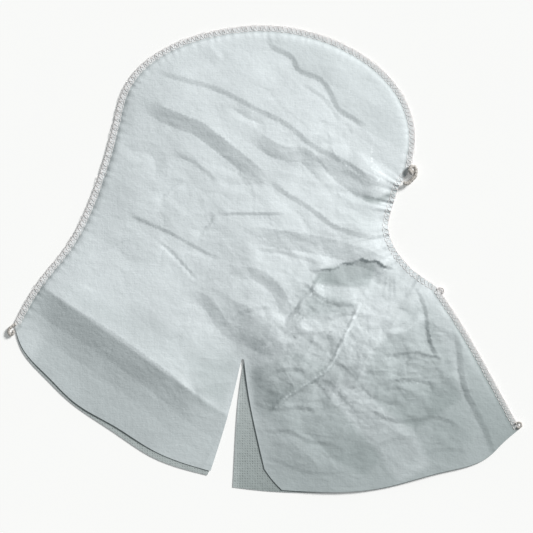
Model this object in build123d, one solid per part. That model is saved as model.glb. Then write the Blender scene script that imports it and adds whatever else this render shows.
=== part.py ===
from build123d import *
import math
import os

# Two-panel protective hood lying flat on its left side: face opening towards +X, crown
# towards +Y, the cape's back flap and front flap towards -Y with a shoulder slit between.
# Millimetres, +Z up, origin under the middle of the hood. The left panel lies on the
# surface, the right panel arches over it, and the two are joined only along the crown and
# back seam and along the throat seam. Every closed outline runs anticlockwise.

# ---- driving dimensions ----
FABRIC = 0.4          # thickness of one layer of fabric
LAYER_GAP = 1.0       # air between the two layers in the seam allowance
ALLOWANCE = 5.0       # width of the overlocked seam allowance
ARCH = 21.0           # height of the right panel over its seams at the middle of the head
ARCH_REACH = 42.0     # how far from a seam the arch takes to rise
EDGE_SHARE = 0.46     # share of the arch that is left at a free edge
EDGE_REACH = 40.0     # how far from a free edge the arch is lowered
FOLD_SHARE = 0.42     # share of the arch that is left along the two fold lines
FOLD_REACH = 26.0     # how far from a fold line the arch is lowered
FOLD_GAP = 0.8        # clearance between the hood and a flap along a fold line
THREAD = 0.3          # thickness of a sewing thread
THREAD_LIFT = 0.4     # air between a thread and the fabric it lies on
ELASTIC_WIDTH = 2.5   # elastic in the face edge
ELASTIC_THICK = 0.8
ELASTIC_CLEAR = 0.3   # clearance between the elastic and the fabric

# Where each thread of the overlock runs: distances to the left of the cut edge.
SEAM_NEEDLE = (ALLOWANCE - 0.3, ALLOWANCE + 0.3)
SEAM_UPPER = (1.2, 3.8)
SEAM_LOWER = (-1.0, -0.3)
FACE_NEEDLE = (3.2, 3.8)
FACE_LOOPERS = (0.8, 2.6)

# Share of an edge that its threads or elastic cover.
FACE_THREAD_SPAN = (0.06, 0.94)
ELASTIC_SPAN = (0.03, 0.97)
SEAM_END = 0.004              # crown and back seam: left free at the two corners
THROAT_SEAM_START = 0.01

# How finely the curved pieces are divided.
CROWN_ROWS = 20
FLAP_COLUMNS = 16
BACK_ROWS = 10
FRONT_ROWS = 12
FACE_STEPS = 24

# ---- corners of the pattern ----
FOREHEAD = (145, 88)          # upper end of the face opening
BACK_CORNER = (-250, -65)     # back seam meets the back hem
SLIT_BACK_TOP = (-23.2, -101)
SLIT_TOP = (-21.8, -99.3)
SLIT_FRONT_TOP = (-20.4, -101)
FRONT_CORNER = (255, -170)    # throat seam meets the front hem
THROAT = (172, -28)           # lower end of the face opening

# ---- fold lines that the two flaps of the cape lift about ----
BACK_FOLD = ((-224.5, -25), (-39.5, -154))
NECK_FOLD = (SLIT_TOP, THROAT)

# ---- seams and edges shared by both panels ----
CROWN_SEAM = Spline(
    FOREHEAD, (150, 118), (139, 162), (105, 199), (48, 226), (-2, 233), (-57, 226),
    (-110, 204), (-140, 171), (-150, 137), (-168, 75), (-199, 11), (-225, -22), BACK_CORNER,
)
THROAT_SEAM = Spline(FRONT_CORNER, (217.5, -101), (189, -53), THROAT)
FACE_EDGE = Spline(
    THROAT, (146.5, -10), (129, 12), (123, 32), (128.5, 56), (133, 70), FOREHEAD,
)


# Hems and slit sides of the right panel. Its front corner at the slit is turned back.
RIGHT_BACK_HEM = Spline(
    BACK_CORNER, (-243, -87), (-217, -117), (-189, -144), (-150, -167), (-110, -192), (-54, -212),
)
RIGHT_SLIT_FRONT = Spline(SLIT_FRONT_TOP, (-16.5, -132), (-8.5, -173), (0, -210), (17.5, -231))
RIGHT_FRONT_HEM = Spline(
    (17.5, -231), (60, -233), (116.5, -229), (178.5, -213), (226, -195), FRONT_CORNER,
)

# The left panel's hem shows a few millimetres below the right panel's, and the front of
# its slit stands straight.
LEFT_PATTERN = make_face([
    CROWN_SEAM,
    Spline(
        BACK_CORNER, (-244, -88), (-218, -120), (-188, -148), (-155, -170), (-112, -198), (-57, -216),
    ),
    Spline((-57, -216), (-43, -173), (-33.5, -141), SLIT_BACK_TOP),
    ThreePointArc(SLIT_BACK_TOP, SLIT_TOP, SLIT_FRONT_TOP),
    Spline(SLIT_FRONT_TOP, (-26.2, -141), (-28.5, -173), (-31.5, -228)),
    Spline(
        (-31.5, -228), (5, -232), (60, -233.5), (116.5, -229.5), (178.5, -213.5), (226, -195.5),
        FRONT_CORNER,
    ),
    THROAT_SEAM,
    FACE_EDGE,
])


def unit_along(fold):
    """Unit vector along a fold line."""
    (x0, y0), (x1, y1) = fold
    length = math.hypot(x1 - x0, y1 - y0)
    return (x1 - x0) / length, (y1 - y0) / length


def flap_zone(fold, before, after, far_corners, clearance):
    """Plan of the ground that one flap covers, set back from its fold line by clearance."""
    dx, dy = unit_along(fold)
    (x0, y0), (x1, y1) = fold
    shift_x, shift_y = dy * clearance, -dx * clearance
    start = (x0 - before * dx + shift_x, y0 - before * dy + shift_y)
    end = (x1 + after * dx + shift_x, y1 + after * dy + shift_y)
    return make_face(Polyline(start, end, *far_corners, close=True))


BELOW = -245    # a line below every hem


def back_zone(clearance):
    return flap_zone(BACK_FOLD, 40, 6, [(-44, BELOW), (-300, BELOW)], clearance)


def front_zone(clearance):
    slit_middle = [(-29.8, -141), (-35.5, -173), (-42, BELOW)]
    return flap_zone(NECK_FOLD, 0, 20, [(300, BELOW), *reversed(slit_middle)], clearance)


BODY_ZONES = {
    "hood": lambda plan: plan - back_zone(-FOLD_GAP / 2) - front_zone(-FOLD_GAP / 2),
    "back": lambda plan: plan & back_zone(FOLD_GAP / 2),
    "front": lambda plan: plan & front_zone(FOLD_GAP / 2),
}


# ---- arch of the right panel ----
def sampled(curve, count):
    """Evenly spaced points along a curve, as plain pairs."""
    places = [curve @ (i / count) for i in range(count + 1)]
    return [(p.X, p.Y) for p in places]


def distance_to(x, y, points):
    """Distance to a chain of points."""
    nearest = math.inf
    for (ax, ay), (bx, by) in zip(points, points[1:]):
        ux, uy = bx - ax, by - ay
        along = ((x - ax) * ux + (y - ay) * uy) / (ux * ux + uy * uy)
        along = min(max(along, 0.0), 1.0)
        nearest = min(nearest, math.hypot(x - ax - along * ux, y - ay - along * uy))
    return nearest


SEWN = [sampled(CROWN_SEAM, 48), sampled(THROAT_SEAM, 12)]
FREE = [
    sampled(FACE_EDGE, 16),
    [BACK_CORNER, (-217, -118), (-150, -168), (-55, -214)],
    [(-47, -195), SLIT_TOP, (-12, -160), (2, -212)],
    [(-31.5, -228), (60, -233), (178.5, -213), FRONT_CORNER],
]


def dip(x, y, lines, depth, reach):
    """Factor that is 1 - depth on the lines and 1 well away from them."""
    nearest = min(distance_to(x, y, line) for line in lines)
    return 1 - depth * math.exp(-((nearest / reach) ** 2))


def right_panel_height(x, y):
    """Height of the underside of the right panel."""
    rise = 1.0
    for seam in SEWN:
        inside = max(distance_to(x, y, seam) - ALLOWANCE, 0.0)
        rise *= 1 - math.exp(-((inside / ARCH_REACH) ** 2))
    at_edges = dip(x, y, FREE, 1 - EDGE_SHARE, EDGE_REACH)
    at_folds = dip(x, y, [BACK_FOLD, NECK_FOLD], 1 - FOLD_SHARE, FOLD_REACH)
    return FABRIC + LAYER_GAP + ARCH * rise * min(at_edges, at_folds)


# ---- making solids ----
def eased(count):
    """Fractions from 0 to 1, closer together near both ends."""
    return [0.5 - 0.5 * math.cos(math.pi * j / count) for j in range(count + 1)]


def patch_grid(bottom, top, left, right):
    """Rows of plan points that fill the patch between four sides (a Coons patch).

    bottom and top run from left to right; left and right run from bottom to top at the
    fractions of eased().
    """
    columns, rows = len(bottom) - 1, len(left) - 1
    grid = []
    for i in range(columns + 1):
        u = i / columns
        column = []
        for j, v in enumerate(eased(rows)):
            place = []
            for k in (0, 1):
                across = (1 - v) * bottom[i][k] + v * top[i][k]
                up = (1 - u) * left[j][k] + u * right[j][k]
                low_corners = (1 - v) * ((1 - u) * bottom[0][k] + u * bottom[-1][k])
                high_corners = v * ((1 - u) * top[0][k] + u * top[-1][k])
                place.append(across + up - low_corners - high_corners)
            column.append(place)
        grid.append(column)
    return grid


def arched_layer(grid, lift, thick):
    """Layer that follows the right panel over a grid of plan points.

    Each column of the grid is a smooth curve, and its faces run straight to the next one.
    """
    up = Vector(0, 0, thick)
    columns = []
    for column in grid:
        columns.append([Vector(x, y, right_panel_height(x, y) + lift) for x, y in column])
    under = [Edge.make_spline(column) for column in columns]
    over = [Edge.make_spline([point + up for point in column]) for column in columns]
    faces = [
        Face.make_surface_from_curves(under[0], over[0]),
        Face.make_surface_from_curves(under[-1], over[-1]),
    ]
    for i in range(len(columns) - 1):
        faces.append(Face.make_surface_from_curves(under[i], under[i + 1]))
        faces.append(Face.make_surface_from_curves(over[i], over[i + 1]))
        for end in (0, -1):
            a, b = columns[i][end], columns[i + 1][end]
            faces.append(Face(Wire.make_polygon([a, b, b + up, a + up])))
    return Solid(Shell(faces))


def flat_layer(plan, low, thick):
    """Layer of constant height over a plan."""
    return extrude(Pos(0, 0, low) * plan, thick)


def strip_rails(curve, inner, outer, count, start=0.0, end=1.0):
    """Two rails beside a curve, at two distances to its left."""
    rails = []
    for inset in (inner, outer):
        rail = []
        for i in range(count + 1):
            t = start + (end - start) * i / count
            p, d = curve @ t, curve % t
            rail.append((p.X - d.Y * inset, p.Y + d.X * inset))
        rails.append(rail)
    return rails


def flat_strip(rails, low, thick):
    """Narrow level band between two rails."""
    near, far = rails
    edges = [Spline(*near), Line(near[-1], far[-1]), Spline(*reversed(far)), Line(far[0], near[0])]
    return flat_layer(make_face(edges), low, thick)


def arched_strip(rails, lift, thick):
    """Narrow band between two rails that follows the right panel."""
    near, far = rails
    grid = [[p, ((p[0] + q[0]) / 2, (p[1] + q[1]) / 2), q] for p, q in zip(near, far)]
    return arched_layer(grid, lift, thick)


def save(name, shape):
    """Write one piece."""
    solids = shape.solids()
    if len(solids) != 1:
        print("WARNING", name, "has", len(solids), "solids")
    export_step(solids[0], f"parts/{name}.step")
    print(name, round(shape.volume, 1))


def nearest_fraction(curve, point, steps=2000):
    """Fraction along a curve at which it passes nearest to a point."""
    return min((abs((curve @ (i / steps)) - Vector(*point)), i / steps) for i in range(steps + 1))[1]


AT_FOLD = nearest_fraction(CROWN_SEAM, BACK_FOLD[0])       # where the back fold meets the seam
SEAM_GAP = 1.0 / CROWN_SEAM.length                          # clearance of the threads there
THROAT_GAP = 2.0 / THROAT_SEAM.length


def shifted(point, fold, distance):
    """Point moved square to a fold line, towards its flap."""
    dx, dy = unit_along(fold)
    return point[0] + dy * distance, point[1] - dx * distance


def straight(start, end, fractions):
    """Points on a straight line at some fractions of its length."""
    (x0, y0), (x1, y1) = start, end
    return [(x0 + (x1 - x0) * f, y0 + (y1 - y0) * f) for f in fractions]


def evenly(count):
    return [i / count for i in range(count + 1)]


def on_curve(curve, start, end, fractions):
    """Points on part of a curve at some fractions of that part."""
    places = [curve @ (start + (end - start) * f) for f in fractions]
    return [(p.X, p.Y) for p in places]


HALF_GAP = FOLD_GAP / 2
BACK_FOLD_SLIT = BACK_FOLD[1]
SEAM_SIDE = 0.012       # the crown panel starts this share of the back fold in from the seam


def crown_grid():
    """Plan of the right panel above both folds."""
    rows = eased(CROWN_ROWS)
    seam_end = AT_FOLD - 0.5 * SEAM_GAP
    left_low = shifted(straight(*BACK_FOLD, [SEAM_SIDE])[0], BACK_FOLD, -HALF_GAP)
    fold_end = shifted(BACK_FOLD_SLIT, BACK_FOLD, -HALF_GAP)
    neck_start = shifted(SLIT_TOP, NECK_FOLD, -HALF_GAP)
    neck_end = shifted(THROAT, NECK_FOLD, -HALF_GAP)
    bottom = straight(left_low, fold_end, evenly(14))
    bottom += straight(fold_end, neck_start, evenly(4))[1:]
    bottom += straight(neck_start, neck_end, evenly(14))[1:]
    top = on_curve(CROWN_SEAM, seam_end, 0.0, evenly(len(bottom) - 1))
    left = straight(left_low, top[0], rows)
    right = on_curve(FACE_EDGE, 0.0, 1.0, rows)
    right[0] = neck_end
    return patch_grid(bottom, top, left, right)


def back_flap_grid():
    """Plan of the right panel's back flap, from hem to fold."""
    rows = eased(BACK_ROWS)
    seam_start = AT_FOLD + 0.5 * SEAM_GAP
    top_left = on_curve(CROWN_SEAM, seam_start, 1, [0.0])[0]
    top_right = shifted(BACK_FOLD_SLIT, BACK_FOLD, HALF_GAP)
    top = straight(top_left, top_right, evenly(FLAP_COLUMNS))
    bottom = on_curve(RIGHT_BACK_HEM, 0.0, 1.0, evenly(FLAP_COLUMNS))
    left = on_curve(CROWN_SEAM, 1.0, seam_start, rows)
    right = straight(bottom[-1], top_right, rows)
    return patch_grid(bottom, top, left, right)


def front_flap_grid():
    """Plan of the right panel's front flap, from hem to fold."""
    rows = eased(FRONT_ROWS)
    top_left = shifted(SLIT_FRONT_TOP, NECK_FOLD, HALF_GAP)
    top_right = shifted(THROAT, NECK_FOLD, HALF_GAP)
    top = straight(top_left, top_right, evenly(FLAP_COLUMNS))
    bottom = on_curve(RIGHT_FRONT_HEM, 0.0, 1.0, evenly(FLAP_COLUMNS))
    left = on_curve(RIGHT_SLIT_FRONT, 1.0, 0.0, rows)
    left[-1] = top_left
    right = on_curve(THROAT_SEAM, 0.0, 1.0, rows)
    right[-1] = top_right
    return patch_grid(bottom, top, left, right)


def save_panels():
    """The two fabric panels, each in the three stretches that its folds leave."""
    names = {"hood": "crown_panel", "back": "back_flap", "front": "front_flap"}
    for body, name in names.items():
        save(f"left_{name}", flat_layer(BODY_ZONES[body](LEFT_PATTERN), 0, FABRIC))
    save("right_crown_panel", arched_layer(crown_grid(), 0, FABRIC))
    save("right_back_flap", arched_layer(back_flap_grid(), 0, FABRIC))
    save("right_front_flap", arched_layer(front_flap_grid(), 0, FABRIC))


def save_seam(name, curve, count, start, end):
    """The three threads of one overlocked seam."""
    top = 2 * FABRIC + LAYER_GAP
    needle = strip_rails(curve, *SEAM_NEEDLE, count, start, end)
    upper = strip_rails(curve, *SEAM_UPPER, count, start, end)
    lower = strip_rails(curve, *SEAM_LOWER, count, start, end)
    save(f"{name}_needle_thread", arched_strip(needle, FABRIC + THREAD_LIFT, THREAD))
    save(f"{name}_upper_looper_thread", arched_strip(upper, FABRIC + THREAD_LIFT, THREAD))
    save(f"{name}_lower_looper_thread", flat_strip(lower, 0, top))


def save_face_edge():
    """Elastic of the face opening and the threads that hold it, in each panel."""
    above = FABRIC + THREAD_LIFT
    needle = strip_rails(FACE_EDGE, *FACE_NEEDLE, FACE_STEPS, *FACE_THREAD_SPAN)
    loopers = strip_rails(FACE_EDGE, *FACE_LOOPERS, FACE_STEPS, *FACE_THREAD_SPAN)
    save("right_face_edge_needle_thread", arched_strip(needle, above, THREAD))
    save("right_face_edge_looper_threads", arched_strip(loopers, above, THREAD))
    save("left_face_edge_needle_thread", flat_strip(needle, above, THREAD))
    save("left_face_edge_looper_threads", flat_strip(loopers, above, THREAD))
    outside = (-ELASTIC_CLEAR - ELASTIC_WIDTH, -ELASTIC_CLEAR)
    band = strip_rails(FACE_EDGE, *outside, FACE_STEPS, *ELASTIC_SPAN)
    save("right_face_elastic", arched_strip(band, ELASTIC_CLEAR, ELASTIC_THICK))
    save("left_face_elastic", flat_strip(band, 0, ELASTIC_THICK))


def curled_tail(centre, radius, thread_radius, height, first, sweep_angle):
    """Short curl of chained thread lying flat."""
    path = Pos(0, 0, height) * CenterArc(centre, radius, first, sweep_angle)
    ring = Plane(origin=path @ 0, z_dir=path % 0) * Circle(thread_radius)
    return sweep(ring, path)


os.makedirs("parts", exist_ok=True)
save_panels()
save_seam("crown_seam", CROWN_SEAM, 40, SEAM_END, AT_FOLD - SEAM_GAP)
save_seam("back_seam", CROWN_SEAM, 6, AT_FOLD + SEAM_GAP, 1 - SEAM_END)
save_seam("throat_seam", THROAT_SEAM, 10, THROAT_SEAM_START, 1 - THROAT_GAP)
save_face_edge()
save("forehead_seam_tail", curled_tail((147, 83), 4.5, 1.2, 4.6, -120, 230))
save("back_corner_seam_tail", curled_tail((-254, -73), 3.0, 1.2, 1.3, -60, 290))
save("front_corner_seam_tail", curled_tail((255, -164), 2.6, 0.9, 4.4, -40, 280))
save("throat_seam_tail", curled_tail((180, -32), 2.2, 0.9, 1.0, 100, 250))
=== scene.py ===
"""Looks of a two-panel non-woven hood lying flat on its left side.

The right panel is the upper layer and is seen from above; the left panel lies under it.
Lengths are millimetres along the shared frame's axes until a mesh is made.
"""

import functools
import math

import bpy
import numpy as np
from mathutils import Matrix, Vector, geometry


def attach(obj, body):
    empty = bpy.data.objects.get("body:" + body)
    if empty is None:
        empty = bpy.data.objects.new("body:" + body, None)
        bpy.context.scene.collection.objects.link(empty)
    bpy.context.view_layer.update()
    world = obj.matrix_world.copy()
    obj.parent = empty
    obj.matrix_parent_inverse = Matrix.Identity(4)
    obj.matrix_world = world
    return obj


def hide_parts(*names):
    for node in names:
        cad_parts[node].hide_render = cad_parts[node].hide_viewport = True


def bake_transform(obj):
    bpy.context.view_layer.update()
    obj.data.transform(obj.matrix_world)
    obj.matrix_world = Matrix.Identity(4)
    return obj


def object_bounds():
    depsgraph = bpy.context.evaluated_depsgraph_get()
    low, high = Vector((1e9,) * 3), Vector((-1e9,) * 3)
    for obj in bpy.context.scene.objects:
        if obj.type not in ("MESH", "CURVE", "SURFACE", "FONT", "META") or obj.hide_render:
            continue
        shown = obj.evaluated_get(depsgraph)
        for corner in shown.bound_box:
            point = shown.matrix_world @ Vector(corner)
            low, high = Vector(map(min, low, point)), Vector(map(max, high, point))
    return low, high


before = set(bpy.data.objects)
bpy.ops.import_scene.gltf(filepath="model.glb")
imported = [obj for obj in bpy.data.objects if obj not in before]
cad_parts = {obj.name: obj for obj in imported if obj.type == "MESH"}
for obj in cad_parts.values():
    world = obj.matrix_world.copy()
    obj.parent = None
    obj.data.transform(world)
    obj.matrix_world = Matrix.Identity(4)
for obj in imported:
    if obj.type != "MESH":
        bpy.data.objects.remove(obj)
CAD_LOW, CAD_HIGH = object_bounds()
RNG = np.random.default_rng(7)

# ---- sizes, mm ----
FABRIC = 0.35           # thickness of the non-woven
FLANGE = 5.0            # overlocked seam allowance
FLANGE_TOP = 1.0        # height of the right panel in the allowance
PUFF = 0.56 * CAD_HIGH.z * 1000     # how far the right panel stands over its seams
SPACING = 1.75       # of the right panel's mesh
UNDER_SPACING = 3.5     # of the left panel's mesh
OUTLINE_SPACING = 2.4   # of any outline, at most
BEND = (-6.0, 26.0)     # distances past a fold line, from which bend_with works out two points that it does not use
CUT = 18.0              # the pieces part this far above a fold line
PITCH = 4.6             # length of one overlock stitch
FLOOR_CLEAR = 0.05      # threads and elastic stay this far above the surface under the hood

# ---- shape of the right panel: a share of the puff, and the reach that it takes ----
STEEP_RISE, STEEP_REACH = 0.14, 3.0     # gained right beside a seam
DOME_RISE, DOME_REACH = 0.98, 82.0      # gained towards the middle of the head
BACK_FALL, FRONT_FALL = 0.92, 0.90      # lost from a fold line down to the hem
SLIT_FALL, SLIT_REACH = 0.93, 30.0      # lost at the slit
SLIT_BACK_REACH = 26.0                  # more reach on the back flap's side
FACE_FALL, FACE_REACH = 0.45, 18.0      # lost at the face opening
FOLD_STRENGTH = 0.75                    # one factor on the heights of all the creases
SOFT_FLOOR = 0.3                        # rounds off where the panel comes to rest


# ---- pattern outlines, anticlockwise, the same corners as the CAD panels ----
FOREHEAD = (145, 88)
BACK_CORNER = (-250, -65)
SLIT_BACK_TOP = (-23.2, -101)
SLIT_TOP = (-21.8, -99.3)
SLIT_FRONT_TOP = (-20.4, -101)
FRONT_CORNER = (255, -170)
THROAT = (172, -28)
BACK_FOLD = ((-224.5, -25), (-39.5, -154))
NECK_FOLD = (SLIT_TOP, THROAT)
SLIT_ROWS = [60, 99, 141, 173, 245]                 # distances below the origin
SLIT_SHADE = [-27, -21.8, -26, -26, -26]            # x where the flaps' tones meet, row by row
SLIT_CUT = [-27, -21.8, -29.8, -35.5, -44]          # x where the flaps' pieces part


def spline(points, step=2.5):
    """Evenly spaced points on the natural cubic spline through some points."""
    p = np.array(points, float)
    t = np.concatenate([[0], np.cumsum(np.hypot(*np.diff(p, axis=0).T))])
    n, h = len(p), np.diff(t)
    if n > 2:
        system, right = np.eye(n), np.zeros((n, 2))
        for i in range(1, n - 1):
            system[i, i - 1:i + 2] = h[i - 1], 2 * (h[i - 1] + h[i]), h[i]
            right[i] = 6 * ((p[i + 1] - p[i]) / h[i] - (p[i] - p[i - 1]) / h[i - 1])
        curve = np.linalg.solve(system, right)
    else:
        curve = np.zeros((n, 2))
    fine = np.linspace(0, t[-1], max(int(t[-1]), 8) * 4)
    k = np.clip(np.searchsorted(t, fine, "right") - 1, 0, n - 2)
    a, b, w = t[k + 1] - fine, fine - t[k], h[k]
    q = (curve[k] * a[:, None] ** 3 + curve[k + 1] * b[:, None] ** 3) / (6 * w[:, None])
    q += (p[k] / w[:, None] - curve[k] * w[:, None] / 6) * a[:, None]
    q += (p[k + 1] / w[:, None] - curve[k + 1] * w[:, None] / 6) * b[:, None]
    return resample(q, step)


def resample(points, step):
    """The same line with evenly spaced points."""
    length = np.concatenate([[0], np.cumsum(np.hypot(*np.diff(points, axis=0).T))])
    places = np.linspace(0, length[-1], max(int(round(length[-1] / step)), 1) + 1)
    return np.column_stack([np.interp(places, length, points[:, k]) for k in (0, 1)])


CROWN_SEAM = spline([
    FOREHEAD, (150, 118), (139, 162), (105, 199), (48, 226), (-2, 233), (-57, 226),
    (-110, 204), (-140, 171), (-150, 137), (-168, 75), (-199, 11), (-225, -22), BACK_CORNER,
])
THROAT_SEAM = spline([FRONT_CORNER, (217.5, -101), (189, -53), THROAT])
FACE_EDGE = spline([THROAT, (146.5, -10), (129, 12), (123, 32), (128.5, 56), (133, 70), FOREHEAD])
SLIT_END = np.array([SLIT_BACK_TOP, SLIT_TOP, SLIT_FRONT_TOP], float)
RIGHT_BACK_HEM = spline([
    BACK_CORNER, (-243, -87), (-217, -117), (-189, -144), (-150, -167), (-110, -192), (-54, -212),
])
RIGHT_SLIT_BACK = spline([(-54, -212), (-41.5, -173), (-32.5, -141), SLIT_BACK_TOP])
RIGHT_SLIT_FRONT = spline([SLIT_FRONT_TOP, (-16.5, -132), (-8.5, -173), (0, -210)])
RIGHT_SLIT_CORNER = spline([(0, -210), (8, -221), (17.5, -231)])
RIGHT_FRONT_HEM = spline([
    (17.5, -231), (60, -233), (116.5, -229), (178.5, -213), (226, -196), (236, -186), FRONT_CORNER,
])
LEFT_BACK_HEM = spline([
    BACK_CORNER, (-244, -88), (-218, -120), (-188, -148), (-155, -170), (-112, -198), (-57, -216),
])
LEFT_SLIT_BACK = spline([(-57, -216), (-43, -173), (-33.5, -141), SLIT_BACK_TOP])
LEFT_SLIT_FRONT = spline([SLIT_FRONT_TOP, (-26.2, -141), (-28.5, -173), (-31.5, -228)])
LEFT_FRONT_HEM = spline([
    (-31.5, -228), (5, -232), (60, -233.5), (116.5, -229.5), (178.5, -213.5), (226, -196.5),
    (236, -186.5), FRONT_CORNER,
])
RIGHT_EDGES = [
    CROWN_SEAM, RIGHT_BACK_HEM, RIGHT_SLIT_BACK, SLIT_END, RIGHT_SLIT_FRONT, RIGHT_SLIT_CORNER,
    RIGHT_FRONT_HEM, THROAT_SEAM, FACE_EDGE,
]
LEFT_EDGES = [
    CROWN_SEAM, LEFT_BACK_HEM, LEFT_SLIT_BACK, SLIT_END, LEFT_SLIT_FRONT, LEFT_FRONT_HEM,
    THROAT_SEAM, FACE_EDGE,
]


def outline(edges):
    """Closed outline from edges that follow each other."""
    return np.vstack([edge[:-1] for edge in edges])


# ---- plan geometry ----
def nearest_on(points, line):
    """For each point: distance to a line, its side (+1 on the left) and how far along it is."""
    best = np.full(len(points), 1e9)
    side, place = np.ones(len(points)), np.zeros(len(points))
    start = 0.0
    for a, b in zip(line[:-1], line[1:]):
        u = b - a
        length = math.hypot(*u)
        rel = points - a
        t = np.clip((rel @ u) / (length * length), 0, 1)
        gap = rel - t[:, None] * u
        d = np.hypot(gap[:, 0], gap[:, 1])
        closer = d < best
        best[closer] = d[closer]
        side[closer] = np.where(u[0] * rel[closer, 1] - u[1] * rel[closer, 0] >= 0, 1, -1)
        place[closer] = start + t[closer] * length
        start += length
    return best, side, place


def distance(points, lines):
    """Distance to the nearest of some lines."""
    return np.min([nearest_on(points, line)[0] for line in lines], axis=0)


def inside(points, starts, ends):
    """Which points lie inside the closed loops made of some edges."""
    hit = np.zeros(len(points), bool)
    x, y = points.T
    for (x0, y0), (x1, y1) in zip(starts, ends):
        if y0 != y1:
            hit ^= ((y0 > y) != (y1 > y)) & (x < (x1 - x0) * (y - y0) / (y1 - y0) + x0)
    return hit


def fold_frame(points, fold):
    """Distance past a fold line towards its flap, and distance along the line."""
    (x0, y0), (x1, y1) = fold
    length = math.hypot(x1 - x0, y1 - y0)
    dx, dy = (x1 - x0) / length, (y1 - y0) / length
    rel = points - np.array([x0, y0])
    return rel[:, 0] * dy - rel[:, 1] * dx, rel[:, 0] * dx + rel[:, 1] * dy


def lattice(low, high, spacing):
    """Jittered triangular lattice over a rectangle: points and triangles."""
    rows = int((high[1] - low[1]) / (spacing * 0.866)) + 2
    cols = int((high[0] - low[0]) / spacing) + 2
    i, j = np.mgrid[0:rows, 0:cols]
    x, y = low[0] + (j + (i % 2) / 2) * spacing, low[1] + i * spacing * 0.866
    points = np.column_stack([x.ravel(), y.ravel()])
    points += RNG.uniform(-0.2, 0.2, points.shape) * spacing
    i, j = i[:-1, :-1].ravel(), j[:-1, :-1].ravel()
    here, up = i * cols + j, (i + 1) * cols + j
    odd = (i % 2).astype(bool)
    first = np.where(odd[:, None], np.column_stack([here, up + 1, up]),
                     np.column_stack([here, here + 1, up]))
    second = np.where(odd[:, None], np.column_stack([here, here + 1, up + 1]),
                      np.column_stack([here + 1, up + 1, up]))
    return points, np.vstack([first, second])


def triangulated(edges, spacing):
    """Plan points and triangles that fill an outline.

    A lattice fills the middle, and a Delaunay band joins it to the outline.
    """
    core_gap, band_gap = 1.6 * spacing, 0.6 * spacing
    loop = outline([resample(edge, min(spacing, OUTLINE_SPACING)) for edge in edges])
    closed = np.vstack([loop, loop[:1]])
    grid, tris = lattice(loop.min(axis=0), loop.max(axis=0), spacing)
    kept = inside(grid, closed[:-1], closed[1:])
    near = np.full(len(grid), 1e9)
    near[kept] = nearest_on(grid[kept], closed)[0]
    core = tris[(near[tris] > core_gap).all(axis=1) & kept[tris].all(axis=1)]
    used, index = np.unique(core, return_inverse=True)
    core = index.reshape(-1, 3)
    middle = grid[used]
    rim = open_edges(core)
    extra = kept & (near > band_gap)
    extra[used] = False
    extra = grid[extra]
    on_rim, rim_index = np.unique(rim, return_inverse=True)
    band = np.vstack([loop, extra, middle[on_rim]])
    ring = [(k, (k + 1) % len(loop)) for k in range(len(loop))]
    ring += [tuple(e) for e in (rim_index.reshape(-1, 2) + len(loop) + len(extra)).tolist()]
    verts, _, faces, *_ = geometry.delaunay_2d_cdt([Vector(p) for p in band.tolist()], ring, [], 1, 1e-5)
    band = np.array([v[:] for v in verts])
    strip = np.array([f for f in faces if len(f) == 3])
    strip = strip[~inside(band[strip].mean(axis=1), middle[rim[:, 0]], middle[rim[:, 1]])]
    plan = np.vstack([middle, band])
    tris = np.vstack([core, strip + len(middle)])
    plan, tris = welded(plan, tris)
    a, b, c = plan[tris[:, 0]], plan[tris[:, 1]], plan[tris[:, 2]]
    turn = (b[:, 0] - a[:, 0]) * (c[:, 1] - a[:, 1]) - (b[:, 1] - a[:, 1]) * (c[:, 0] - a[:, 0])
    solid = np.abs(turn) > 1e-6
    tris, turn = tris[solid], turn[solid]
    tris[turn < 0] = tris[turn < 0][:, ::-1]
    return plan, tris


def welded(points, tris):
    """The same triangles with coinciding points made one."""
    _, first, index = np.unique(np.round(points, 3), axis=0, return_index=True, return_inverse=True)
    return points[first], index.reshape(-1)[tris]


# ---- creases of the right panel ----
# Each fold is a line, a profile across it and the length over which it fades at its ends.
# A profile is pairs of distance (positive to the left of the line) and height, with straight
# flanks between them, as in folded non-woven.
def valley(depth, left, right):
    """Sharp groove with straight flanks."""
    return [(-right, 0), (0, -depth), (left, 0)]


def ridge(height, left, right):
    """Sharp crest with straight flanks."""
    return [(-right, 0), (0, height), (left, 0)]


def drop(height, width, left=60, right=60):
    """High on the left, falling over a width to the right of the line."""
    return [(-width - right, 0), (-width, -height / 2), (0, height / 2), (left, 0)]


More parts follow.
